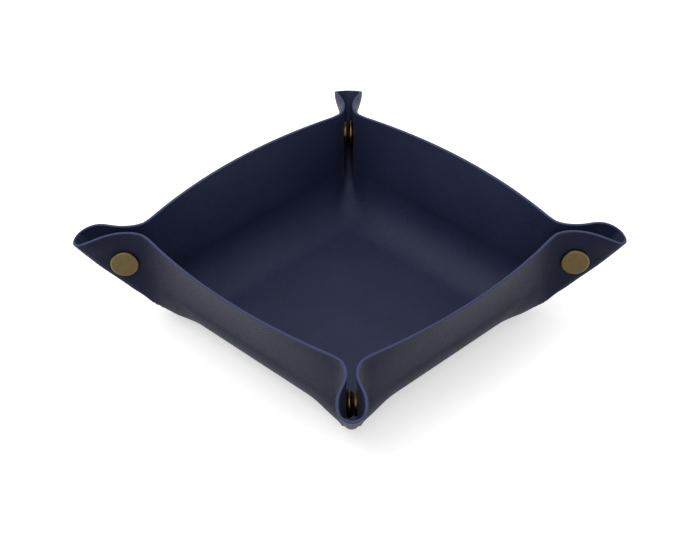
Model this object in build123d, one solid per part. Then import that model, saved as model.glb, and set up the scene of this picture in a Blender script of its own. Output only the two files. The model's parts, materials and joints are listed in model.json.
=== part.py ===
"""Snap-up valet tray: one square sheet of leather whose four corners are pinched by spring snaps.

The sheet is drawn flat, cut along its fold lines into rigid panels, and each panel is then
folded up into the tray. Origin at the middle of the underside, +Z up, walls along X and Y.
"""
import os
from math import acos, cos, degrees, radians, sin, sqrt

from build123d import *

# The sheet, in millimetres
sheet_width = 200.0
corner_radius = 25.0
thickness = 1.3

# Fold lines of a wall, measured on the flat sheet
floor_width = 98.0
bend_width = 16.0
fold_gap = 0.15
pleat_gap = 0.9

# How far each fold is turned up in the snapped tray, in degrees
lower_fold = 42.0
upper_fold = 42.0

# How far a wall bows outward in the middle of its upper edge
wall_swell = 7.0

# How far a cap's edge stays from the crease and from the ear's fold line beside it
cap_crease_gap = 4.1
cap_ear_gap = 1.65

# Cap on the outside of a corner
cap_diameter = 12.4
cap_height = 1.6
cap_rounding = 1.1

# Socket half of a snap
socket_diameter = 12.0
socket_height = 3.0
socket_seat_diameter = 10.4
socket_crown_diameter = 8.8
socket_widest_height = 1.2
socket_rounding = 0.7
socket_mouth_diameter = 5.4
socket_plate = 0.4
socket_lip = 0.3
socket_post_diameter = 3.2
post_flange_diameter = 4.4
post_flange_height = 0.4

# Spring ring inside a socket
spring_diameter = 5.8
spring_wire_diameter = 0.7
spring_play = 0.1
spring_opening_angle = 40.0

# Stud half of a snap
stud_diameter = 10.2
stud_rim_width = 0.9
stud_rim_height = 1.2
stud_plate = 0.5
stud_foot_diameter = 5.6
stud_foot_height = 0.8
stud_neck_diameter = 3.4
stud_head_diameter = 4.0
stud_head_start = 2.3
stud_height = 3.3
stud_rounding = 0.3
stud_post_diameter = 2.2
stud_post_height = 1.9

# Clearances
snap_clearance = 0.1
post_clearance = 0.05

# Values worked out from the sizes above
half = sheet_width / 2
lower_line = floor_width / 2
upper_line = lower_line + bend_width
wall_angle = radians(lower_fold + upper_fold)
wall_top = (
    lower_line
    + bend_width * cos(radians(lower_fold))
    + (half - upper_line) * cos(wall_angle)
)
ear_gap = socket_height + stud_rim_height + snap_clearance
leaf_offset = ear_gap / 2 + thickness
crease_slope = cos(wall_angle)
crease_top = wall_top - thickness * sin(wall_angle) - (leaf_offset - thickness) * sqrt(2)
crease_foot = crease_top - (half - upper_line) * crease_slope
leaf_fold = degrees(acos(sin(wall_angle) / sqrt(2)))
ear_fold = 90.0

# Place of a snap on the flat sheet, where those two gaps meet
crease_distance = cap_crease_gap + cap_diameter / 2
ear_distance = leaf_offset + cap_ear_gap + cap_diameter / 2
snap_reach = (
    crease_foot
    - upper_line * crease_slope
    + crease_distance * sqrt(1 + crease_slope**2)
    + ear_distance * sqrt(2)
)
snap_out = snap_reach / (1 - crease_slope)
snap_along = snap_out - ear_distance * sqrt(2)

# Fold axes on the flat sheet: the crease turns down about the upper face, the others turn
# up about the underside
lower_axis = Axis((0, lower_line, 0), (1, 0, 0))
upper_axis = Axis((0, upper_line, 0), (1, 0, 0))
crease_axis = Axis((crease_top, half, thickness), (crease_slope, 1, 0))
ear_axis = Axis((-leaf_offset / sqrt(2), leaf_offset / sqrt(2), 0), (1, 1, 0))

wall_names = ["back", "left", "front", "right"]
corner_names = ["back_right", "back_left", "front_left", "front_right"]
quarter_turn = 90.0
full_turn = 4 * quarter_turn


def flat_sheet():
    """The whole sheet, lying flat with its rounded corners."""
    outline = RectangleRounded(sheet_width, sheet_width, corner_radius)
    return extrude(outline, amount=thickness)


def trimmed(panel, point, normal, fold_angle, gap=fold_gap):
    """Keeps the side of a fold line that normal points to, mitred for half of the fold angle.

    The angle is negative where the panel turns down, which puts the fold axis on the upper face.
    """
    across = Vector(*normal, 0).normalized()
    lean = radians(fold_angle / 2)
    level = thickness if fold_angle < 0 else 0
    start = Vector(*point, level) + across * gap
    plane = Plane(origin=start, z_dir=across * cos(lean) - Vector(0, 0, sin(lean)))
    return split(panel, bisect_by=plane, keep=Keep.TOP)


def floor_panel():
    """The flat middle of the tray."""
    panel = flat_sheet()
    for side in [(1, 0), (-1, 0), (0, 1), (0, -1)]:
        point = (side[0] * lower_line, side[1] * lower_line)
        panel = trimmed(panel, point, (-side[0], -side[1]), lower_fold)
    return panel


def bend_panel():
    """The strip between the two fold lines of the back wall, still flat."""
    panel = trimmed(flat_sheet(), (0, lower_line), (0, 1), lower_fold)
    panel = trimmed(panel, (0, upper_line), (0, -1), upper_fold)
    for side in [1, -1]:
        panel = trimmed(panel, (side * crease_foot, upper_line), (-side, -1), 0)
    return panel


def swelled_sheet():
    """The sheet between the back wall's creases, straight at its foot and bowed along its top."""
    foot = Edge.make_line((-crease_foot, upper_line, 0), (crease_foot, upper_line, 0))
    ends = [(-crease_top, half, 0), (crease_top, half, 0)]
    brow = Edge.make_three_point_arc(ends[0], (0, half, -wall_swell), ends[1])
    underside = Face.make_surface_from_curves(foot, brow)
    return extrude(underside, amount=thickness, dir=(0, 0, 1))


def wall_panel():
    """The upright part of the back wall, before it is folded up."""
    panel = trimmed(swelled_sheet(), (0, upper_line), (0, 1), upper_fold)
    for side in [1, -1]:
        normal = (-side, crease_slope)
        panel = trimmed(panel, (side * crease_foot, upper_line), normal, -leaf_fold)
    return panel


def leaf_panel(post_diameter):
    """The right-hand ear leaf of the back wall, still flat, with the hole for its snap."""
    panel = trimmed(flat_sheet(), (crease_foot, upper_line), (1, -crease_slope), -leaf_fold)
    panel = trimmed(panel, ear_line_point(), (-1, 1), ear_fold)
    panel = trimmed(panel, (crease_foot, upper_line), (1, 1), 0, pleat_gap)
    hole = Pos(snap_along, snap_out, 0) * Cylinder(
        post_diameter / 2 + post_clearance, thickness, align=(Align.CENTER, Align.CENTER, Align.MIN)
    )
    return panel - hole


def ear_line_point():
    """A point of the fold line between an ear leaf and the ear's bottom."""
    return (-leaf_offset / sqrt(2), leaf_offset / sqrt(2))


def ear_panel():
    """The right-hand half of an ear's bottom, still flat, up to the sheet's diagonal."""
    panel = trimmed(flat_sheet(), ear_line_point(), (1, -1), ear_fold)
    panel = trimmed(panel, (0, 0), (-1, 1), 0)
    return trimmed(panel, (crease_foot, upper_line), (1, 1), 0, pleat_gap)


def lathed(corners):
    """A round piece turned about the Z axis, from the (radius, height, rounding) of its corners."""
    points = [(radius, 0, height) for radius, height, rounding in corners]
    roundings = [rounding for radius, height, rounding in corners]
    section = FilletPolyline(*points, radius=roundings, close=True)
    return revolve(make_face(section), axis=Axis.Z)


def snap_cap(post_diameter, post_top):
    """A domed cap under the sheet, with the post that goes up through it."""
    rim = cap_diameter / 2
    post = post_diameter / 2
    corners = [
        (0, -cap_height, 0),
        (rim, -cap_height, cap_rounding),
        (rim, 0, 0),
        (post, 0, 0),
        (post, post_top, 0),
        (0, post_top, 0),
    ]
    return lathed(corners)


def socket_cap():
    """The cap of a socket, with its post flared over the socket's plate."""
    seat = thickness + socket_plate
    flange = Cylinder(
        post_flange_diameter / 2, post_flange_height, align=(Align.CENTER, Align.CENTER, Align.MIN)
    )
    return snap_cap(socket_post_diameter, seat) + Pos(0, 0, seat) * flange


def stud_cap():
    """The cap of a stud, with its post inside the stud."""
    return snap_cap(stud_post_diameter, thickness + stud_post_height)


def socket():
    """The ring-shaped socket, open at the top and hollow behind its lip."""
    bore = socket_post_diameter / 2 + post_clearance
    mouth = socket_mouth_diameter / 2
    cavity = spring_diameter / 2 + spring_wire_diameter / 2 + spring_play
    lip_base = socket_height - socket_lip
    cavity_base = lip_base - spring_wire_diameter - 2 * spring_play
    corners = [
        (bore, 0, 0),
        (socket_seat_diameter / 2, 0, 0),
        (socket_diameter / 2, socket_widest_height, socket_rounding),
        (socket_crown_diameter / 2, socket_height, socket_rounding),
        (mouth, socket_height, socket_lip / 2),
        (mouth, lip_base, 0),
        (cavity, lip_base, 0),
        (cavity, cavity_base, 0),
        (mouth, cavity_base, 0),
        (mouth, socket_plate, 0),
        (bore, socket_plate, 0),
    ]
    return Pos(0, 0, thickness) * lathed(corners)


def spring():
    """The open wire ring that grips the stud's neck."""
    centre = socket_height - socket_lip - spring_play - spring_wire_diameter / 2
    section = Pos(spring_diameter / 2, 0, 0) * (Plane.XZ * Circle(spring_wire_diameter / 2))
    ring = revolve(section, axis=Axis.Z, revolution_arc=full_turn - spring_opening_angle)
    return Pos(0, 0, thickness + centre) * ring


def stud():
    """The stud: a rolled rim, a flat dish and the headed pin in its middle."""
    rim = stud_diameter / 2
    rim_inside = rim - stud_rim_width
    neck = stud_neck_diameter / 2
    head = stud_head_diameter / 2
    bore = stud_post_diameter / 2 + post_clearance
    cheek = stud_head_start + stud_rounding
    bore_top = stud_post_height + post_clearance
    corners = [
        (bore, 0, 0),
        (rim, 0, stud_rounding),
        (rim, stud_rim_height, stud_rounding),
        (rim_inside, stud_rim_height, stud_rounding),
        (rim_inside, stud_plate, 0),
        (stud_foot_diameter / 2, stud_plate, 0),
        (neck, stud_foot_height, 0),
        (neck, stud_head_start, 0),
        (head, cheek, 0),
        (head, stud_height, stud_rounding),
        (0, stud_height, 0),
        (0, bore_top, 0),
        (bore, bore_top, 0),
    ]
    return Pos(0, 0, thickness) * lathed(corners)


def fold_bend(piece):
    """Turns a piece of the bend strip up about the lower fold."""
    return piece.rotate(lower_axis, lower_fold)


def fold_wall(piece):
    """Turns a piece of the wall up about both folds."""
    return fold_bend(piece.rotate(upper_axis, upper_fold))


def fold_leaf(piece):
    """Turns a piece of the right-hand leaf out about the crease, then up with its wall."""
    return fold_wall(piece.rotate(crease_axis, leaf_fold))


def fold_ear(piece):
    """Turns a piece of the ear's bottom in under the leaf, then moves it with the leaf."""
    return fold_leaf(piece.rotate(ear_axis, -ear_fold))


def behind_mirror(piece):
    """Trims a folded bend strip where it meets those of the neighbouring walls."""
    for side in [1, -1]:
        away = Vector(-side, 1, 0).normalized()
        plane = Plane(origin=away * fold_gap, z_dir=away)
        piece = split(piece, bisect_by=plane, keep=Keep.TOP)
    return piece


def on_wall(piece, number):
    """Carries a piece of the back wall round to wall number."""
    return piece.rotate(Axis.Z, quarter_turn * number)


def snap_place(piece):
    """Puts a snap piece, drawn about the Z axis, at the right-hand snap of the back wall."""
    return fold_leaf(Pos(snap_along, snap_out, 0) * piece)


def wall_parts(number):
    """The leather panels and snap pieces of one wall, by name."""
    name = wall_names[number]
    has_sockets = number % 2 == 0
    post = socket_post_diameter if has_sockets else stud_post_diameter
    parts = {
        f"{name}_bend": behind_mirror(fold_bend(bend_panel())),
        f"{name}_wall": fold_wall(wall_panel()),
    }
    if has_sockets:
        snap = {"socket_cap": socket_cap(), "socket": socket(), "spring": spring()}
    else:
        snap = {"stud_cap": stud_cap(), "stud": stud()}
    ends = {"right": corner_names[number], "left": corner_names[(number + 1) % len(corner_names)]}
    for end, corner in ends.items():
        pieces = {
            f"{name}_leaf_{end}": fold_leaf(leaf_panel(post)),
            f"{name}_ear_{end}": fold_ear(ear_panel()),
        }
        for kind, piece in snap.items():
            pieces[f"{kind}_{corner}"] = snap_place(piece)
        if end == "left":
            pieces = {key: mirror(piece, about=Plane.YZ) for key, piece in pieces.items()}
        parts.update(pieces)
    return {key: on_wall(piece, number) for key, piece in parts.items()}


def all_parts():
    """Every node of the tray, by name."""
    parts = {"floor_panel": floor_panel()}
    for number in range(len(wall_names)):
        parts.update(wall_parts(number))
    return parts


os.makedirs("parts", exist_ok=True)
for node, piece in all_parts().items():
    piece.label = node
    export_step(piece, f"parts/{node}.step")
opening_half_angle = radians(spring_opening_angle / 2)
opening = spring_diameter * sin(opening_half_angle) - spring_wire_diameter
print("least gap between the ends of a spring ring:", round(opening, 2))
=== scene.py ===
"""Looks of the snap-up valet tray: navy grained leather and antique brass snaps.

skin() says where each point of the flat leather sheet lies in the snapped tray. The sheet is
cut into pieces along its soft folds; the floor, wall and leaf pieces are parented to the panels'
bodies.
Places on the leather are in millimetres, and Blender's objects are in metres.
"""
import json
import math

import bmesh
import bpy
import numpy as np
from mathutils import Matrix, Vector

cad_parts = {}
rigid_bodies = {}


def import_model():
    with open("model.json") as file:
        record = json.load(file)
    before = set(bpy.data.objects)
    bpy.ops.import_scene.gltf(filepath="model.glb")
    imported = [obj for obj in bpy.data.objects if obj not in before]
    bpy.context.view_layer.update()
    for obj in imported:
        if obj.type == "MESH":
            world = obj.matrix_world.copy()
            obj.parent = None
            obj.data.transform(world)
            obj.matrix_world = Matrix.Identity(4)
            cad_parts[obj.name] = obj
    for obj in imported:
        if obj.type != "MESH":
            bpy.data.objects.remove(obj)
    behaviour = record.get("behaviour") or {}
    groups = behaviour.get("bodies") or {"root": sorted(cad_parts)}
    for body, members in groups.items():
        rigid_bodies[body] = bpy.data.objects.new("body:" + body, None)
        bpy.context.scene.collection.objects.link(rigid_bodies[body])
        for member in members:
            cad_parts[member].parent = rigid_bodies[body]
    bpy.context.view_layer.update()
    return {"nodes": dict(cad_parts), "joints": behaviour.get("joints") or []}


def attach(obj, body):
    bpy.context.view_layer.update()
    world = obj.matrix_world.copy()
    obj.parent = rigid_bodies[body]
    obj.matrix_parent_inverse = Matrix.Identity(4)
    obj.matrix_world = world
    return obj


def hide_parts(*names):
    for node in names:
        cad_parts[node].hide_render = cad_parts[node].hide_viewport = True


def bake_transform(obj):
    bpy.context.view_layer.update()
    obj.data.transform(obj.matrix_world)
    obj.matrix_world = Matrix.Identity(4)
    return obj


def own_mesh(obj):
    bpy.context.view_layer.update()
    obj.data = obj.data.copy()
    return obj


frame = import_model()

mm = 0.001
root_two = math.sqrt(2)

# The leather sheet
sheet_half = 100.0
corner_radius = 25.0
thickness = 1.3
edge_rounding = 0.28
corner_steps = 20

# How far the bending of each fold reaches to either side of its line, and the height on the
# flat wall above which the crease's reach widens to the one at the top
bend_reach = 8.0
crease_reach = 6.0
crease_reach_at_top = 7.5
crease_widens = 90.0
ear_reach = 3.2

# Flat diagonal distances between which a corner's pleat begins to close
pleat_start = 77.0
pleat_end = 89.5

# Roundness of the valley in a corner below its pleat, and how wide its seam is drawn together
valley_width = 7.5
pull_width = 13.0

# Half the width of the pieces that bend along the creases
crease_band = 6.0

# How far a wall swells outward and upward in its middle, the power by which the swell grows up
# the wall, its direction, and how far short of the creases it ends
wall_swell = 7.2
wall_rise = 1.8
swell_growth = 1.4
swell_way = (0, 0.985, -0.17)
swell_end = 1.0

# Shape of an ear: how far it flares open past its snap, how far its neck is pinched, how far
# its tip sinks, and how far its fold sags under the snap. The spans are flat distances in
# millimetres, beside the diagonal or along it, between which each rises, holds and falls.
ear_flare = 2.9
flare_span = (0, 10, 11, 23.5)
flare_start = 115.5
flare_length = 12.0
neck_pinch = 0.5
neck_span = (16, 22, 25, 32)
neck_foot = 91.0
neck_length = 8.0
tip_sink = 0.5
tip_start = 100.0
tip_length = 28.0
tip_beside = (6, 20)
fold_sag = 2.0
sag_span = (74, 100, 112, 136)
sag_width = 16.0

# How much fuller the outer face is at the foot of a corner, where the leather crowds together,
# over which spans beside the diagonal and along it, and how much of it goes outward and down
foot_swell = 2.4
foot_beside = (1, 6, 8, 22)
foot_along = (62, 76, 84, 97)
foot_outward = 0.8
foot_down = 0.6

# Degrees that each lower bend of the opened tray stays short of flat
upward_set = 4.0

# Hidden tongues that close the corners when the tray is opened: their layer inside the sheet,
# how far those of the bends reach past the diagonal, how far those of the ears reach beside it
# and past it, where they start and how far they lap the pleat's foot, how wide the ones inside
# the leaves are and where they end, and how far those of the creases reach below that foot
tongue_layer = (0.35, 0.95)
bend_tongue = 3.6
ear_tongue = 4.5
ear_overlap = 1.2
ear_tongue_start = 79.0
ear_tongue_lap = 12.0
side_tongue = 2.5
side_tongue_end = 97.0
crease_tongue = 3.0

# Places on the flat leather, at the creases and at the ears' folds, whose snapped places are
# worked out and not used: a height on the wall and a distance along the diagonal
crease_blend_height = 84.0
ear_blend_out = 100

# Spacing of the tiles that a piece is meshed in, along its fold and across it
floor_tiles = (6.0, 6.0)
bend_tiles = (2.5, 1.6)
wall_tiles = (2.5, 2.6)
leaf_tiles = (2.0, 2.0)
crease_tiles = (2.0, 1.0)
ear_tiles = (2.0, 0.8)
bend_tongue_tiles = (1.6, 1.6)
crease_tongue_tiles = (1.5, 1.0)
ear_tongue_tiles = (1.2, 1.0)

# Flat distance over which the skin's slopes are taken, and how near the rounded corner's rim a
# point counts as lying on the cut edge
slope_step = 0.02
edge_slack = 0.05

# Numbers of the leather's finishes: its two faces and its cut edge
inside, outside, cut_side = 0, 1, 2

# The studio, in metres and degrees: the table, its grey for the light that it throws back and
# for the camera, and its glow for the camera; the lamp; the sky's strength as light and as
# seen; and the camera, which looks from the photograph's angle
table_reach = 4.0
table_level = -0.0003
table_grey = (0.44, 0.44, 0.44)
table_grey_seen = (0.8, 0.8, 0.8)
table_glow = 0.52
lamp_size = 1.5
lamp_power = 9.6
lamp_place = (-0.3, -0.25, 1.1)
sky_light = 0.7
sky_seen = 1.0
camera_azimuth = 44.6
camera_elevation = 37.5
camera_distance = 0.95
camera_aim = (0, 0, 0.018)
camera_lens = 114.0

walls = ["back", "left", "front", "right"]
joint_of = {joint["child"]: joint for joint in frame["joints"]}


def fold_angle(child):
    """The whole angle of the fold before a body, in radians, from snapped to truly flat."""
    angle = joint_of[child]["range_deg"][1]
    if child.endswith("bend"):
        angle += upward_set
    return math.radians(angle)


def opened(body):
    """The matrix that lays a body of the snapped tray back on the flat sheet."""
    flat = Matrix.Identity(4)
    while body in joint_of:
        joint = joint_of[body]
        hinge = Matrix.Translation(joint["pos_m"])
        turn = Matrix.Rotation(fold_angle(body), 4, Vector(joint["axis"]))
        flat = hinge @ turn @ hinge.inverted() @ flat
        body = joint["parent"]
    return flat


def eased(share):
    """A smooth step from 0 to 1."""
    share = np.clip(share, 0, 1)
    return share * share * (3 - 2 * share)


def hump(place, start, rise, fall, end):
    """0 before start, 1 from rise to fall, and 0 again past end."""
    return eased((place - start) / (rise - start)) * (1 - eased((place - fall) / (end - fall)))


class Fold:
    """A soft fold of the flat sheet, on the line of the joint that it bends at."""

    def __init__(self, child, beyond):
        """child is the body past the fold, and beyond a flat point on that side."""
        joint = joint_of[child]
        flat = opened(joint["parent"])
        self.point = np.array(flat @ Vector(joint["pos_m"])) / mm
        self.along = np.array(flat.to_3x3() @ Vector(joint["axis"]))
        self.angle = fold_angle(child)
        across = np.cross(self.along, (0, 0, 1))
        across /= np.linalg.norm(across)
        self.across = across * np.sign(across @ (np.array(beyond) - self.point))
        self.up = np.sign(np.cross(self.across, self.along)[2])

    def bend(self, points, reach, share):
        """Bends the sheet round this fold by a share of its angle, without stretching it."""
        angle = np.maximum(self.angle * share, 1e-4)
        offset = points - self.point
        past, beside = offset @ self.across, offset @ self.along
        middle = thickness / 2 - self.point[2]
        inward = self.up * (offset[:, 2] - middle)
        radius = reach / np.tan(angle / 2) - thickness / 2 - inward
        turn = angle * np.clip((past + reach) / (2 * reach), 0, 1)
        before, after = np.minimum(past + reach, 0), np.maximum(past - reach, 0)
        level = before - reach + radius * np.sin(turn) + after * np.cos(turn)
        rise = radius + inward - radius * np.cos(turn) + after * np.sin(turn)
        height = middle + self.up * rise
        return (self.point + np.outer(beside, self.along) + np.outer(level, self.across)
                + np.outer(height, (0, 0, 1)))


# The folds of the back wall's right half, which the other seven halves repeat
lower_fold = Fold("back_bend", (0, 90, 0))
upper_fold = Fold("back_wall", (0, 90, 0))
crease_fold = Fold("back_leaf_right", (90, 92, 0))
ear_fold = Fold("back_ear_right", (90, 90, 0))

# Flat distances of the borders between the leather's pieces
floor_edge = lower_fold.point[1] - bend_reach
bend_edge = (lower_fold.point[1] + upper_fold.point[1]) / 2
wall_edge = upper_fold.point[1] + bend_reach
pleat_foot = upper_fold.point[1]

outward = np.array((1, 1, 0)) / root_two
sideways = np.array((-1, 1, 0)) / root_two
ear_edge = 2 * ear_fold.point @ sideways
up_the_leaf = np.array(opened("back_leaf_right").to_3x3().inverted() @ Vector(sideways))


def along_diagonal(points):
    """Flat points as their distances along and beside the corner's diagonal."""
    return points @ outward, points @ sideways


def from_diagonal(out, side, height):
    """The flat points at these distances along and beside the diagonal."""
    return np.outer(out, outward) + np.outer(side, sideways) + np.outer(height, (0, 0, 1))


def folded(points):
    """The back wall's right half bent round its folds, the corner's two where it is pleated."""
    out, _ = along_diagonal(points)
    pleat = eased((out - pleat_start) / (pleat_end - pleat_start))
    top = eased((points[:, 1] - crease_widens) / (sheet_half - crease_widens))
    reach = crease_reach + (crease_reach_at_top - crease_reach) * top
    points = ear_fold.bend(points, ear_reach, pleat)
    points = crease_fold.bend(points, reach, pleat)
    points = upper_fold.bend(points, bend_reach, 1.0)
    return lower_fold.bend(points, bend_reach, 1.0)


def half_skin(points):
    """skin() for the back wall's right half."""
    out, side = along_diagonal(points)
    height = points[:, 2]
    pleat = eased((out - pleat_start) / (pleat_end - pleat_start))
    valley = np.maximum(valley_width * (1 - pleat), 1e-6)
    rounded = np.where(side < valley, (valley + side**2 / valley) / 2, side)
    soft = folded(from_diagonal(out, rounded, height))
    sharp = folded(from_diagonal(out, side, height)) @ sideways
    seam = folded(from_diagonal(out, 0 * side, height)) @ sideways
    drawn = sharp - seam * (1 - eased(side / pull_width))
    drawn += ear_flare * hump(side, *flare_span) * eased((out - flare_start) / flare_length)
    pinched = eased((points[:, 1] - neck_foot) / neck_length)
    drawn -= neck_pinch * hump(side, *neck_span) * pinched
    placed = soft + np.outer(drawn - soft @ sideways, sideways)
    sag = fold_sag * hump(out, *sag_span) * (1 - eased(side / sag_width))
    placed -= np.outer(sag, up_the_leaf)
    beside_tip = eased((side - tip_beside[0]) / (tip_beside[1] - tip_beside[0]))
    placed[:, 2] -= tip_sink * eased((out - tip_start) / tip_length) * (1 - beside_tip)
    outer = np.clip(1 - height / thickness, 0, 1)
    full = foot_swell * outer * hump(side, *foot_beside) * hump(out, *foot_along)
    placed += np.outer(full, foot_outward * outward - (0, 0, foot_down))
    crease = crease_fold.point[0] + (points[:, 1] - crease_fold.point[1]) * (
        crease_fold.along[0] / crease_fold.along[1])
    middle = np.maximum(1 - (points[:, 0] / (crease - swell_end)) ** 2, 0)
    upright = np.clip((points[:, 1] - wall_edge) / (sheet_half - wall_edge), 0, None)
    upright = upright**swell_growth
    placed += np.outer(wall_swell * middle * upright, swell_way)
    placed[:, 2] += wall_rise * middle * upright
    return placed


def skin(points):
    """Where points of the flat sheet lie in the snapped tray, in millimetres."""
    points = np.asarray(points, float)
    placed = np.empty_like(points)
    quarter = np.floor(np.degrees(np.arctan2(points[:, 1], points[:, 0])) / 90 - 0.5) % 4
    for number in range(4):
        here = quarter == number
        if not here.any():
            continue
        angle = math.radians(90 * number)
        turn = np.array([[math.cos(angle), -math.sin(angle), 0],
                         [math.sin(angle), math.cos(angle), 0], [0, 0, 1]])
        local = points[here] @ turn
        mirror = np.where(local[:, :1] < 0, (-1, 1, 1), (1, 1, 1))
        placed[here] = (half_skin(local * mirror) * mirror) @ turn.T
    return placed


def skin_normals(points):
    """The upward direction of the bent sheet at these flat points."""
    along_x = skin(points + (slope_step, 0, 0)) - skin(points - (slope_step, 0, 0))
    along_y = skin(points + (0, slope_step, 0)) - skin(points - (0, slope_step, 0))
    normals = np.cross(along_x, along_y)
    return normals / np.linalg.norm(normals, axis=1, keepdims=True)


def sheet_outline():
    """The rounded square that the leather is cut to, short of its rounded edge."""
    centre, radius = sheet_half - corner_radius, corner_radius - edge_rounding
    points = []
    for quarter, (x, y) in enumerate([(1, 1), (-1, 1), (-1, -1), (1, -1)]):
        for step in range(corner_steps + 1):
            angle = math.radians(90 * (quarter + step / corner_steps))
            points.append((x * centre + radius * math.cos(angle),
                           y * centre + radius * math.sin(angle)))
    return np.array(points)


def clipped(outline, *lines):
    """The part of a convex outline on the inner side of each line, given as (point, inward)."""
    for point, inward in lines:
        kept = []
        for here, after in zip(outline, np.roll(outline, -1, axis=0)):
            a, b = (here - point) @ inward, (after - point) @ inward
            if a >= 0:
                kept.append(here)
            if a * b < 0:
                kept.append(here + (after - here) * a / (a - b))
        outline = np.array(kept)
    return outline


def tiled(outline, along, spacing):
    """A flat mesh over a convex outline, with its rows of tiles along a direction."""
    along = np.array(along) / np.linalg.norm(along)
    axes = np.array([along, (-along[1], along[0])])
    reached = outline @ axes.T
    low, high = reached.min(0), reached.max(0)
    counts = np.maximum(np.ceil((high - low) / spacing - 1e-6), 1).astype(int)
    lines = [np.linspace(low[k], high[k], counts[k] + 1) for k in (0, 1)]
    mesh = bmesh.new()
    rows = [[mesh.verts.new((*(np.array((s, t)) @ axes), 0)) for s in lines[0]] for t in lines[1]]
    for row, above in zip(rows, rows[1:]):
        for k in range(counts[0]):
            mesh.faces.new((row[k], row[k + 1], above[k + 1], above[k]))
    for here, after in zip(outline, np.roll(outline, -1, axis=0)):
        side = after - here
        if np.linalg.norm(side) > 1e-6:
            bmesh.ops.bisect_plane(
                mesh, geom=mesh.verts[:] + mesh.edges[:] + mesh.faces[:], dist=1e-4,
                plane_co=(*here, 0), plane_no=(side[1], -side[0], 0), clear_outer=True)
    mesh.verts.index_update()
    return mesh


# The rounded cut edge, from the top face to the underside: share of the rounding outward,
# share of the thickness upward, and the tilt of the surface there in degrees
edge_profile = [(0.7, 0.93, 52), (1.0, 0.75, 12), (1.0, 0.25, -12), (0.7, 0.07, -52)]


class Shell:
    """Gathers the points, faces and surface directions of a leather piece."""

    def __init__(self):
        """Starts with nothing."""
        self.flat, self.normals, self.faces, self.finishes, self.smooth = [], [], [], [], []

    def add_points(self, flat, normals):
        """Adds flat points with the directions that they face, and gives their numbers."""
        first = sum(len(f) for f in self.flat)
        self.flat.append(flat)
        self.normals.append(normals)
        return range(first, first + len(flat))

    def add_face(self, corners, finish, smooth=True):
        """Adds one face with the number of its finish."""
        self.faces.append(list(corners))
        self.finishes.append(finish)
        self.smooth.append(smooth)

    def add_rim(self, places, towards, depth):
        """Adds the rows of points round a cut edge, from the top face to the underside."""
        rows = []
        for share_out, share_up, tilt in edge_profile:
            row = places + towards * edge_rounding * share_out + (0, 0, depth * share_up)
            out = skin(row + towards * slope_step) - skin(row - towards * slope_step)
            out /= np.maximum(np.linalg.norm(out, axis=1, keepdims=True), 1e-9)
            up = skin_normals(row)
            tilted = out * math.cos(math.radians(tilt)) + up * math.sin(math.radians(tilt))
            rows.append(self.add_points(row, tilted))
        return rows

    def add(self, outline, along, spacing, layer):
        """Adds a closed slab of leather over a convex outline, bent as the skin is.

        A layer that is thinner than the sheet lies hidden inside it until the sheet opens.
        """
        mesh = tiled(outline, along, spacing)
        places = np.array([v.co for v in mesh.verts]) + (0, 0, layer[0])
        depth = layer[1] - layer[0]
        ends = cut_side if depth == thickness else inside
        past = np.maximum(np.abs(places[:, :2]) - (sheet_half - corner_radius), 0)
        from_centre = np.linalg.norm(past, axis=1)
        on_edge = from_centre > corner_radius - edge_rounding - edge_slack
        towards = np.sign(places[:, :2]) * past / np.maximum(from_centre, 1e-9)[:, None]
        towards = np.column_stack((towards, 0 * from_centre))
        over = places + (0, 0, depth)
        top = self.add_points(over, skin_normals(over))
        bottom = self.add_points(places, -skin_normals(places))
        rows = self.add_rim(places, towards, depth)
        for face in mesh.faces:
            corners = [v.index for v in face.verts]
            self.add_face([top[k] for k in corners], inside)
            self.add_face([bottom[k] for k in reversed(corners)], outside)
        columns = {k: [top[k], *[row[k] for row in rows], bottom[k]]
                   for k in np.flatnonzero(on_edge)}
        cut = {}
        for edge in mesh.edges:
            if not edge.is_boundary:
                continue
            loop = edge.link_loops[0]
            a, b = loop.vert.index, loop.link_loop_next.vert.index
            if on_edge[a] and on_edge[b]:
                for k in range(len(edge_profile) + 1):
                    corners = (columns[b][k], columns[a][k],
                               columns[a][k + 1], columns[b][k + 1])
                    self.add_face(corners, cut_side)
                cut[a] = cut.get(a, 0) + 1
                cut[b] = cut.get(b, 0) - 1
            else:
                self.add_face((top[b], top[a], bottom[a], bottom[b]), ends, smooth=False)
        for k, way in cut.items():
            if way:
                self.add_face(columns[k][::-way], cut_side, smooth=False)
        mesh.free()

    def piece(self, name):
        """The gathered leather as an object, bent into the snapped tray."""
        flat, normals = np.concatenate(self.flat), np.concatenate(self.normals)
        used = np.unique(np.concatenate(self.faces))
        number = np.full(len(flat), -1)
        number[used] = np.arange(len(used))
        flat, normals = flat[used], normals[used]
        mesh = bpy.data.meshes.new(name)
        faces = [[int(number[k]) for k in face] for face in self.faces]
        mesh.from_pydata(skin(flat) * mm, [], faces)
        for material in (leather_inside, leather_outside_with_painted_reflection, cut_leather):
            mesh.materials.append(material)
        mesh.polygons.foreach_set("material_index", self.finishes)
        mesh.polygons.foreach_set("use_smooth", self.smooth)
        place = mesh.attributes.new("sheet_place", "FLOAT_VECTOR", "POINT")
        place.data.foreach_set("vector", flat.astype(np.float32).ravel())
        directions = []
        for face, smooth in zip(self.faces, self.smooth):
            directions += [normals[number[k]] if smooth else (0, 0, 0) for k in face]
        mesh.update()
        mesh.normals_split_custom_set(directions)
        piece = bpy.data.objects.new(name, mesh)
        bpy.context.scene.collection.objects.link(piece)
        return piece


def new_material(name):
    """A new material with its node tree and its shader."""
    material = bpy.data.materials.new(name)
    material.use_nodes = True
    return material, material.node_tree, material.node_tree.nodes["Principled BSDF"]


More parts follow.
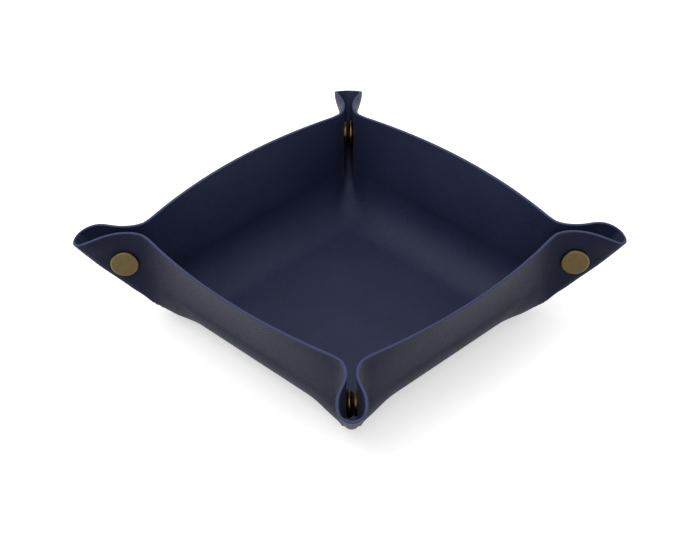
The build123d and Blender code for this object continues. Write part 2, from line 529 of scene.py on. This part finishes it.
def node(tree, kind, inputs=None, **settings):
    """Adds a node, sets its properties, and links or sets its inputs by name or number."""
    made = tree.nodes.new(kind)
    for name, value in settings.items():
        setattr(made, name, value)
    for name, value in (inputs or {}).items():
        socket = made.inputs[name]
        if isinstance(value, bpy.types.NodeSocket):
            tree.links.new(value, socket)
        else:
            socket.default_value = value
    return made


def ramp(tree, factor, stops):
    """Adds a colour ramp through (place, colour) stops and gives its colour output."""
    made = node(tree, "ShaderNodeValToRGB", {"Fac": factor})
    elements = made.color_ramp.elements
    while len(elements) < len(stops):
        elements.new(0.5)
    for element, (place, colour) in zip(elements, stops):
        element.position = place
        element.color = (*colour, 1)
    return made.outputs["Color"]


def mixed(tree, factor, first, second):
    """Mixes two colours, each an output or a plain colour, and gives the colour output."""
    first, second = (colour if isinstance(colour, bpy.types.NodeSocket) else (*colour, 1)
                     for colour in (first, second))
    # The colours of a mix node are its inputs 6 and 7
    made = node(tree, "ShaderNodeMix", {0: factor, 6: first, 7: second}, data_type="RGBA")
    return made.outputs[2]


def scaled(tree, value, factor, offset=0.0):
    """value times factor plus offset."""
    made = node(tree, "ShaderNodeMath", {0: value, 1: factor, 2: offset}, operation="MULTIPLY_ADD")
    return made.outputs[0]


def pebble_grain():
    """Node group: the fine pebble grain of the leather, 0.9 pebbles to the millimetre."""
    group = bpy.data.node_groups.new("pebble grain", "ShaderNodeTree")
    group.interface.new_socket("Place", in_out="INPUT", socket_type="NodeSocketVector")
    for name in ("Height", "Valley", "Mottle"):
        group.interface.new_socket(name, in_out="OUTPUT", socket_type="NodeSocketFloat")
    start, end = group.nodes.new("NodeGroupInput"), group.nodes.new("NodeGroupOutput")
    place = start.outputs["Place"]
    wander = node(group, "ShaderNodeTexNoise", {"Vector": place, "Scale": 0.55, "Detail": 3.0})
    wandered = node(group, "ShaderNodeVectorMath",
                    {0: wander.outputs["Color"], 1: (0.9, 0.9, 0.9), 2: place},
                    operation="MULTIPLY_ADD")
    cells = node(group, "ShaderNodeTexVoronoi", {"Vector": wandered.outputs[0], "Scale": 0.9},
                 feature="DISTANCE_TO_EDGE", voronoi_dimensions="2D")
    dome = node(group, "ShaderNodeMapRange",
                {"Value": cells.outputs["Distance"], "From Max": 0.32},
                interpolation_type="SMOOTHSTEP")
    pores = node(group, "ShaderNodeTexNoise", {"Vector": place, "Scale": 3.2, "Detail": 4.0})
    height = scaled(group, pores.outputs["Fac"], 0.35, dome.outputs[0])
    valley = node(group, "ShaderNodeMapRange",
                  {"Value": cells.outputs["Distance"], "From Max": 0.14,
                   "To Min": 1.0, "To Max": 0.0})
    mottle = node(group, "ShaderNodeTexNoise",
                  {"Vector": place, "Scale": 0.045, "Detail": 5.0, "Roughness": 0.62})
    group.links.new(height, end.inputs["Height"])
    group.links.new(valley.outputs[0], end.inputs["Valley"])
    group.links.new(mottle.outputs["Fac"], end.inputs["Mottle"])
    return group


def leather(name, grain, deep, worn, roughness, specular, sheen):
    """Grained leather: deep colour in the grain's valleys, worn colour on its pebbles."""
    material, tree, shader = new_material(name)
    place = node(tree, "ShaderNodeAttribute", attribute_name="sheet_place")
    group = node(tree, "ShaderNodeGroup", node_tree=grain)
    tree.links.new(place.outputs["Vector"], group.inputs["Place"])
    valley_depth, valley_dark, polish = 0.45, 0.45, 0.12
    tone = ramp(tree, group.outputs["Mottle"], [(0.3, deep), (0.72, worn)])
    shaded = mixed(tree, scaled(tree, group.outputs["Valley"], valley_depth), tone,
                   tuple(valley_dark * c for c in deep))
    tree.links.new(shaded, shader.inputs["Base Color"])
    rough = scaled(tree, group.outputs["Height"], -polish, roughness + polish / 2)
    tree.links.new(rough, shader.inputs["Roughness"])
    bump = node(tree, "ShaderNodeBump", {"Height": group.outputs["Height"], "Strength": 0.55,
                                         "Distance": 0.09 * mm})
    tree.links.new(bump.outputs[0], shader.inputs["Normal"])
    shader.inputs["Specular IOR Level"].default_value = specular
    shader.inputs["Sheen Weight"].default_value = sheen
    shader.inputs["Sheen Roughness"].default_value = 0.5
    return material


def cut_edge(name):
    """The cut edge of the leather: the dye's brighter blue, with fibres along the sheet."""
    material, tree, shader = new_material(name)
    place = node(tree, "ShaderNodeAttribute", attribute_name="sheet_place")
    stretched = node(tree, "ShaderNodeVectorMath",
                     {0: place.outputs["Vector"], 1: (0.8, 0.8, 5.0)}, operation="MULTIPLY")
    fibres = node(tree, "ShaderNodeTexNoise", {"Vector": stretched.outputs[0], "Scale": 1.4,
                                               "Detail": 5.0, "Roughness": 0.65})
    colour = ramp(tree, fibres.outputs["Fac"],
                  [(0.3, (0.022, 0.031, 0.085)), (0.7, (0.045, 0.058, 0.135))])
    tree.links.new(colour, shader.inputs["Base Color"])
    shader.inputs["Roughness"].default_value = 0.7
    shader.inputs["Specular IOR Level"].default_value = 0.3
    bump = node(tree, "ShaderNodeBump", {"Height": fibres.outputs["Fac"], "Strength": 0.5,
                                         "Distance": 0.08 * mm})
    tree.links.new(bump.outputs[0], shader.inputs["Normal"])
    return material


def old_metal():
    """Node group: tarnish, rubbed shoulders and fine scuffs of the snaps' metal parts."""
    group = bpy.data.node_groups.new("old metal", "ShaderNodeTree")
    for name in ("Tarnish", "Rubbed", "Scuffs"):
        group.interface.new_socket(name, in_out="OUTPUT", socket_type="NodeSocketFloat")
    end = group.nodes.new("NodeGroupOutput")
    place = node(group, "ShaderNodeTexCoord")
    at = node(group, "ShaderNodeVectorMath",
              {0: place.outputs["Object"], 1: (1000, 1000, 1000)}, operation="MULTIPLY")
    tarnish = node(group, "ShaderNodeTexNoise",
                   {"Vector": at.outputs[0], "Scale": 0.45, "Detail": 6.0, "Roughness": 0.62})
    scuffs = node(group, "ShaderNodeTexNoise",
                  {"Vector": at.outputs[0], "Scale": 2.6, "Detail": 6.0, "Roughness": 0.7})
    faces = []
    for way in ((0.7071, 0.7071, 0), (-0.7071, 0.7071, 0)):
        dot = node(group, "ShaderNodeVectorMath", {0: place.outputs["Normal"], 1: way},
                   operation="DOT_PRODUCT")
        size = node(group, "ShaderNodeMath", {0: dot.outputs["Value"]}, operation="ABSOLUTE")
        faces.append(size.outputs[0])
    facing = node(group, "ShaderNodeMath", {0: faces[0], 1: faces[1]}, operation="MAXIMUM")
    rubbed = ramp(group, facing.outputs[0],
                  [(0.35, (0, 0, 0)), (0.72, (1, 1, 1)),
                   (0.93, (0.8, 0.8, 0.8)), (0.99, (0.45, 0.45, 0.45))])
    group.links.new(tarnish.outputs["Fac"], end.inputs["Tarnish"])
    group.links.new(rubbed, end.inputs["Rubbed"])
    group.links.new(scuffs.outputs["Fac"], end.inputs["Scuffs"])
    return group


def snap_metal(name, wear, dark, bright, roughness):
    """Metal of the snaps: dark tarnish, brighter where it is rubbed."""
    material, tree, shader = new_material(name)
    group = node(tree, "ShaderNodeGroup", node_tree=wear)
    tarnish_dark, scuff_dark, scuff_depth, scuff_rough = 0.6, 0.55, 0.35, 0.3
    patina = ramp(tree, group.outputs["Tarnish"],
                  [(0.35, tuple(tarnish_dark * c for c in dark)), (0.7, dark)])
    colour = mixed(tree, group.outputs["Rubbed"], patina, bright)
    spotted = mixed(tree, scaled(tree, group.outputs["Scuffs"], scuff_depth), colour,
                    tuple(scuff_dark * c for c in dark))
    tree.links.new(spotted, shader.inputs["Base Color"])
    rough = scaled(tree, group.outputs["Scuffs"], scuff_rough, roughness - scuff_rough / 2)
    tree.links.new(rough, shader.inputs["Roughness"])
    bump = node(tree, "ShaderNodeBump", {"Height": group.outputs["Scuffs"], "Strength": 0.35,
                                         "Distance": 0.05 * mm})
    tree.links.new(bump.outputs[0], shader.inputs["Normal"])
    shader.inputs["Metallic"].default_value = 1.0
    return material


grain = pebble_grain()
wear = old_metal()
leather_inside = leather("navy leather, inside", grain,
                         deep=(0.0102, 0.0142, 0.0415), worn=(0.0155, 0.0205, 0.0555),
                         roughness=0.47, specular=0.16, sheen=0.03)
# The outside's colours are greyer and a little lighter than the inside's: the leather's own navy
# with a painted grey reflection of the pale table in them.
leather_outside_with_painted_reflection = leather("navy leather, outside, with painted table reflection", grain,
                          deep=(0.014, 0.0165, 0.039), worn=(0.020, 0.0235, 0.053),
                          roughness=0.5, specular=0.065, sheen=0.03)
cut_leather = cut_edge("cut edge of the leather")
cap_brass = snap_metal("antique brass of the caps", wear, dark=(0.075, 0.053, 0.022),
                       bright=(0.2, 0.15, 0.07), roughness=0.42)
socket_brass = snap_metal("antique brass of the sockets", wear, dark=(0.06, 0.043, 0.018),
                          bright=(0.36, 0.265, 0.12), roughness=0.3)
# The studs' brass is a darker copy of the sockets' brass: painted shade that dims the studs'
# highlights.
stud_brass_with_painted_shade = snap_metal("antique brass of the studs, darkened by painted shade", wear, dark=(0.05, 0.036, 0.016),
                        bright=(0.2, 0.148, 0.067), roughness=0.34)
spring_steel = snap_metal("dark spring wire", wear, dark=(0.10, 0.095, 0.09),
                          bright=(0.28, 0.27, 0.25), roughness=0.34)

# The caps are looked for first, as a cap's name also names its snap half
metals = {"cap": cap_brass, "socket": socket_brass, "stud": stud_brass_with_painted_shade, "spring": spring_steel}
for name, solid in frame["nodes"].items():
    for part, metal in metals.items():
        if part in name:
            solid.data.materials.clear()
            solid.data.materials.append(metal)
            break

whole = sheet_outline()
origin = np.zeros(2)
up, down, rightward, leftward = (0, 1), (0, -1), (1, 0), (-1, 0)
crease_at = crease_fold.point[:2]
crease_out, crease_in = crease_fold.across[:2], -crease_fold.across[:2]
crease_way = crease_fold.along[:2]
ear_way = outward[:2]
foot = crease_at + crease_way * (pleat_foot - crease_at[1]) / crease_way[1]


def mirrored(lines):
    """Lines of a right half, mirrored to the left half."""
    return [(np.array(point) * (-1, 1), np.array(inward) * (-1, 1)) for point, inward in lines]


def turned(outline, number):
    """An outline of the back wall, turned to wall number."""
    angle = math.radians(90 * number)
    turn = np.array([[math.cos(angle), math.sin(angle)], [-math.sin(angle), math.cos(angle)]])
    return outline @ turn


def line_up(height):
    """Keeps what lies above a height on the flat back wall."""
    return ((0, height), up)


def line_down(height):
    """Keeps what lies below a height on the flat back wall."""
    return ((0, height), down)


def panel(name, parts, number, tongues=()):
    """A leather piece from (outline, along, spacing) parts of the back wall, turned to a wall.

    Its tongues are thin hidden layers that close the sheet's pleats when it is opened.
    """
    shell = Shell()
    layers = [(0.0, thickness)] * len(parts) + [tongue_layer] * len(tongues)
    for (outline, along, spacing), layer in zip([*parts, *tongues], layers):
        along = turned(np.array([along]), number)[0]
        shell.add(turned(outline, number), along, spacing, layer)
    piece = shell.piece(name)
    return piece


def place_on(flat, height, number):
    """Where a flat point of the back wall, turned to a wall, lies when snapped, in metres."""
    point = np.append(turned(np.array([flat]), number)[0], height)
    return skin(point[None])[0] * mm


def place_of(flat, number):
    """place_on() for a point in the middle of the leather."""
    return tuple(place_on(flat, thickness / 2, number))


middle = clipped(whole, line_up(-floor_edge), line_down(floor_edge),
                 ((-floor_edge, 0), rightward), ((floor_edge, 0), leftward))
floor_piece = panel("leather_floor", [(middle, rightward, floor_tiles)], 0)
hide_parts("floor_panel")
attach(floor_piece, "floor")

corner_lines = [(origin, sideways[:2]), *mirrored([(origin, sideways[:2])])]
below_pleat = [(foot, -ear_way), *mirrored([(foot, -ear_way)])]
inside_crease = [(crease_at + crease_in * crease_band, crease_in)]
inside_both = inside_crease + mirrored(inside_crease)
past_ear = sideways[:2] * ear_edge
past_corner = clipped(whole, (origin, -sideways[:2]), (-sideways[:2] * bend_tongue, sideways[:2]))

# The outlines of a right half's pieces beside the wall: the crease's two halves, the leaf, the
# ear strip, and the tongues at the diagonal, inside the leaf and below the crease
crease_start = crease_at + crease_in * crease_band
crease_end = crease_at + crease_out * crease_band
beside_wall = [
    clipped(whole, line_up(pleat_foot), (crease_at, crease_in), (crease_start, crease_out)),
    clipped(whole, line_up(pleat_foot), (crease_at, crease_out), (past_ear, sideways[:2]),
            (crease_end, crease_in)),
    clipped(whole, (crease_end, crease_out), (past_ear, sideways[:2])),
    clipped(whole, (origin, sideways[:2]), (past_ear, -sideways[:2]), (foot, ear_way),
            (crease_at, crease_out)),
    clipped(whole, (-sideways[:2] * ear_overlap, sideways[:2]),
            (sideways[:2] * ear_tongue, -sideways[:2]), (ear_way * ear_tongue_start, ear_way),
            (foot + ear_way * ear_tongue_lap, -ear_way)),
    clipped(whole, (past_ear, sideways[:2]),
            (past_ear + sideways[:2] * side_tongue, -sideways[:2]),
            (foot, ear_way), (ear_way * side_tongue_end, -ear_way)),
    clipped(whole, line_up(pleat_foot - crease_tongue), line_down(pleat_foot),
            (origin, sideways[:2]), (crease_start, crease_out), (crease_end, crease_in)),
]


def on_both_hands(outline):
    """A bend's tongue at the back wall's right end and its mirror image at the left one."""
    return [(outline, rightward, bend_tongue_tiles),
            ((outline * (-1, 1))[::-1], rightward, bend_tongue_tiles)]


def wall_pieces(wall, number):
    """A wall's two bends and its upright part."""
    low = clipped(whole, line_up(floor_edge), line_down(bend_edge), *corner_lines)
    tongue = clipped(past_corner, line_up(floor_edge), line_down(bend_edge))
    piece = panel(f"leather_{wall}_lower_bend", [(low, rightward, bend_tiles)], number,
                  on_both_hands(tongue))
    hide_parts(f"{wall}_bend")
    place_of((0, floor_edge), number)
    place_of((0, bend_edge), number)
    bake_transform(piece)

    high = clipped(whole, line_up(bend_edge), line_down(pleat_foot), *corner_lines, *below_pleat)
    higher = clipped(whole, line_up(pleat_foot), line_down(wall_edge), *inside_both)
    parts = [(high, rightward, bend_tiles), (higher, rightward, bend_tiles)]
    tongue = clipped(past_corner, line_up(bend_edge), (foot, -ear_way))
    piece = panel(f"leather_{wall}_upper_bend", parts, number, on_both_hands(tongue))
    place_of((0, bend_edge), number)
    place_of((0, wall_edge), number)
    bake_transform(piece)

    upright = clipped(whole, line_up(wall_edge), *inside_both)
    piece = panel(f"leather_{wall}_wall", [(upright, rightward, wall_tiles)], number)
    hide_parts(f"{wall}_wall")
    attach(piece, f"{wall}_wall")
    inner_face = place_on((0, wall_edge), thickness, number)
    lifted = place_on((0, wall_edge), 0, number)
    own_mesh(piece)


def ear_pieces(wall, number, hand):
    """The leaf, the crease and the ear strip at a wall's right or left end."""
    flip = (1, 1) if hand == "right" else (-1, 1)
    before, after, beyond, ear, tongue, beside, below = [
        outline * flip if hand == "right" else (outline * flip)[::-1] for outline in beside_wall]
    crease_line, ear_line = crease_way * flip, ear_way * flip

    leaf = panel(f"leather_{wall}_{hand}_leaf", [(beyond, ear_line, leaf_tiles)], number)
    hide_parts(f"{wall}_leaf_{hand}")
    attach(leaf, f"{wall}_leaf_{hand}")

    parts = [(before, crease_line, crease_tiles), (after, crease_line, crease_tiles)]
    piece = panel(f"leather_{wall}_{hand}_crease", parts, number,
                  [(below, crease_line, crease_tongue_tiles)])
    on_line = crease_at + crease_way * (crease_blend_height - crease_at[1]) / crease_way[1]
    place_of((on_line + crease_in * crease_band) * flip, number)
    place_of((on_line + crease_out * crease_band) * flip, number)
    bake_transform(piece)

    piece = panel(f"leather_{wall}_{hand}_ear", [(ear, ear_line, ear_tiles)], number,
                  [(tongue, ear_line, ear_tongue_tiles), (beside, ear_line, ear_tongue_tiles)])
    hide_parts(f"{wall}_ear_{hand}")
    at_ear = ear_way * ear_blend_out
    place_of((at_ear + sideways[:2] * ear_edge) * flip, number)
    place_of((at_ear + sideways[:2] * 0.01) * flip, number)
    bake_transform(piece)


for number, wall in enumerate(walls):
    wall_pieces(wall, number)
    ear_pieces(wall, number, "right")
    ear_pieces(wall, number, "left")


def seen_directly(tree):
    """1 for rays from the camera, a reflection or through glass, else 0."""
    path = node(tree, "ShaderNodeLightPath")
    seen = path.outputs["Is Camera Ray"]
    for ray in ("Is Glossy Ray", "Is Transmission Ray"):
        either = node(tree, "ShaderNodeMath", {0: seen, 1: path.outputs[ray]}, operation="MAXIMUM")
        seen = either.outputs[0]
    return seen


def lay_table():
    """The pale table under the tray."""
    table = bpy.data.meshes.new("table")
    corners = [(x * table_reach, y * table_reach, table_level)
               for x, y in ((-1, -1), (1, -1), (1, 1), (-1, 1))]
    table.from_pydata(corners, [], [(0, 1, 2, 3)])
    material, tree, shader = new_material("pale table")
    shader.inputs["Roughness"].default_value = 0.9
    shader.inputs["Specular IOR Level"].default_value = 0.0
    seen = seen_directly(tree)
    tree.links.new(mixed(tree, seen, table_grey, table_grey_seen), shader.inputs["Base Color"])
    glow = node(tree, "ShaderNodeEmission",
                {"Color": (1, 1, 1, 1), "Strength": scaled(tree, seen, table_glow)})
    both = node(tree, "ShaderNodeAddShader", {0: shader.outputs[0], 1: glow.outputs[0]})
    tree.links.new(both.outputs[0], tree.nodes["Material Output"].inputs["Surface"])
    table.materials.append(material)
    table_top = bpy.data.objects.new("table", table)
    bpy.context.scene.collection.objects.link(table_top)


def light_up():
    """The soft lamp over the table and the pale sky round it."""
    lamp = bpy.data.lights.new("overhead softbox", "AREA")
    lamp.shape = "RECTANGLE"
    lamp.size, lamp.size_y = lamp_size, lamp_size
    lamp.energy = lamp_power
    softbox = bpy.data.objects.new("overhead softbox", lamp)
    softbox.location = lamp_place
    softbox.rotation_euler = (-softbox.location).to_track_quat("-Z", "Y").to_euler()
    bpy.context.scene.collection.objects.link(softbox)

    world = bpy.data.worlds.new("studio")
    world.use_nodes = True
    bpy.context.scene.world = world
    tree = world.node_tree
    seen = seen_directly(tree)
    strength = node(tree, "ShaderNodeMapRange",
                    {"Value": seen, "To Min": sky_light, "To Max": sky_seen})
    background = tree.nodes["Background"]
    background.inputs["Color"].default_value = (1, 1, 1, 1)
    tree.links.new(strength.outputs[0], background.inputs["Strength"])


def aim_camera():
    """The camera at the photograph's angle."""
    azimuth, elevation = math.radians(camera_azimuth), math.radians(camera_elevation)
    back = Vector((math.sin(azimuth) * math.cos(elevation),
                   -math.cos(azimuth) * math.cos(elevation), math.sin(elevation)))
    lens = bpy.data.cameras.new("camera")
    lens.lens = camera_lens
    camera = bpy.data.objects.new("camera", lens)
    camera.location = Vector(camera_aim) + back * camera_distance
    camera.rotation_euler = (-back).to_track_quat("-Z", "Y").to_euler()
    bpy.context.scene.collection.objects.link(camera)
    bpy.context.scene.camera = camera
    bpy.context.scene.view_settings.view_transform = "Standard"


lay_table()
light_up()
aim_camera()
